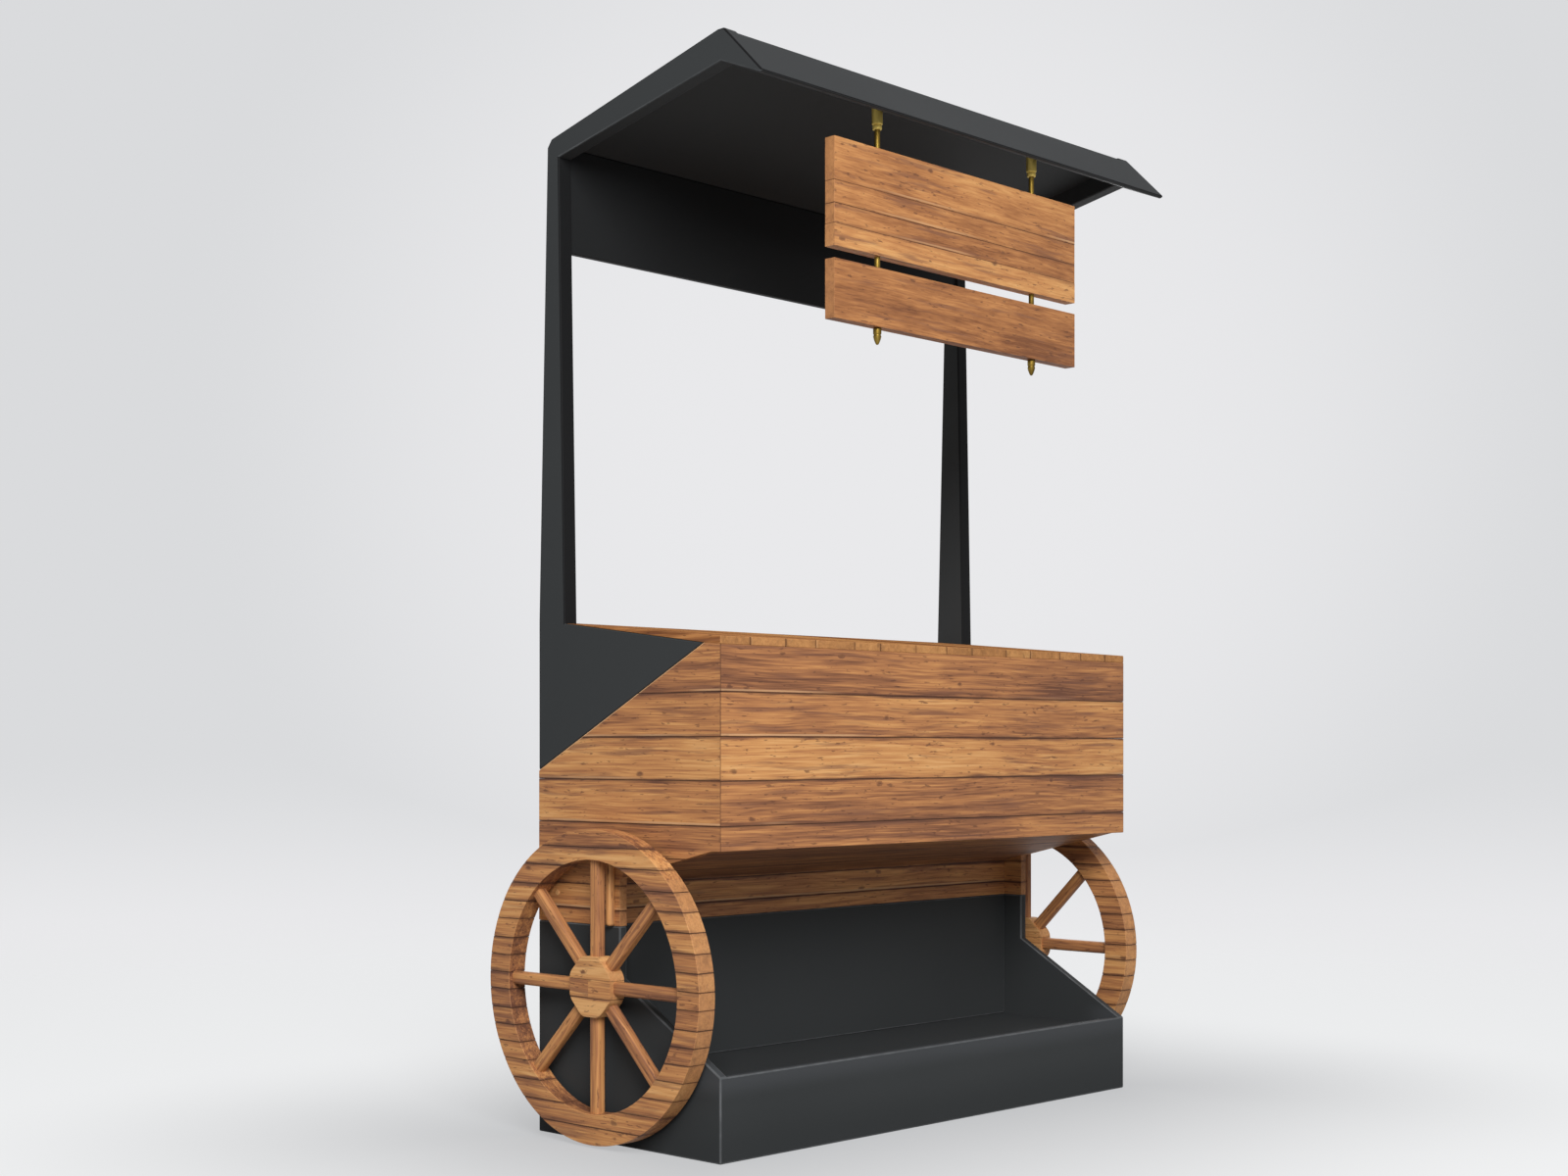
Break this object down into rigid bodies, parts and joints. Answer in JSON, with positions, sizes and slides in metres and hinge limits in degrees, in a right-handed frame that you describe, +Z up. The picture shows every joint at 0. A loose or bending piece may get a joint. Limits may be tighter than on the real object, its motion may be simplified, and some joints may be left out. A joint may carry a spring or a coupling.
{
  "type": "beverage cart",
  "caption": "Free-standing wooden serving cart with a black base and roof frame, a display bay under the cabinet, a hanging sign and two spoked wheels.",
  "frame": {"origin": "centre of the base's underside, on the bottom edge of its middle bearer", "axes": "+Z up, the front with the sign and the display bay faces -Y, +X to the right as seen from the front"},
  "size_m": [1.347, 0.698, 2.041],
  "materials": {
    "black_paint": "satin black paint on board",
    "cart_wood": "clear satin lacquer on brown planks",
    "sign_wood": "clear satin lacquer on lighter planks",
    "wheel_wood": "clear satin lacquer on brown wood",
    "brass": "aged satin brass"
  },
  "bodies": {
    "root": {"base_front_board": "black_paint", "base_left_side": "black_paint", "base_right_side": "black_paint", "base_back_board": "black_paint", "base_bearer": "black_paint", "base_deck": "black_paint", "base_bay_wall": "black_paint", "front_panel": "cart_wood", "left_side_panel": "cart_wood", "right_side_panel": "cart_wood", "rear_panel": "cart_wood", "soffit_board": "cart_wood", "bay_back_wall": "cart_wood", "countertop": "cart_wood", "left_frame": "black_paint", "right_frame": "black_paint", "left_rafter": "black_paint", "right_rafter": "black_paint", "roof_panel": "black_paint", "visor_front_board": "black_paint", "visor_soffit_board": "black_paint", "back_valance": "black_paint", "sign_upper_board": "sign_wood", "sign_lower_board": "sign_wood", "left_sign_rod": "brass", "right_sign_rod": "brass", "left_rod_cup": "brass", "right_rod_cup": "brass", "left_rod_finial": "brass", "right_rod_finial": "brass", "left_wheel_rim": "wheel_wood", "left_wheel_spokes": "wheel_wood", "left_wheel_hub": "wheel_wood", "left_wheel_axle": "wheel_wood", "right_wheel_rim": "wheel_wood", "right_wheel_spokes": "wheel_wood", "right_wheel_hub": "wheel_wood", "right_wheel_axle": "wheel_wood", "left_side_peg": "wheel_wood", "right_side_peg": "wheel_wood"}
  },
  "joints": []
}
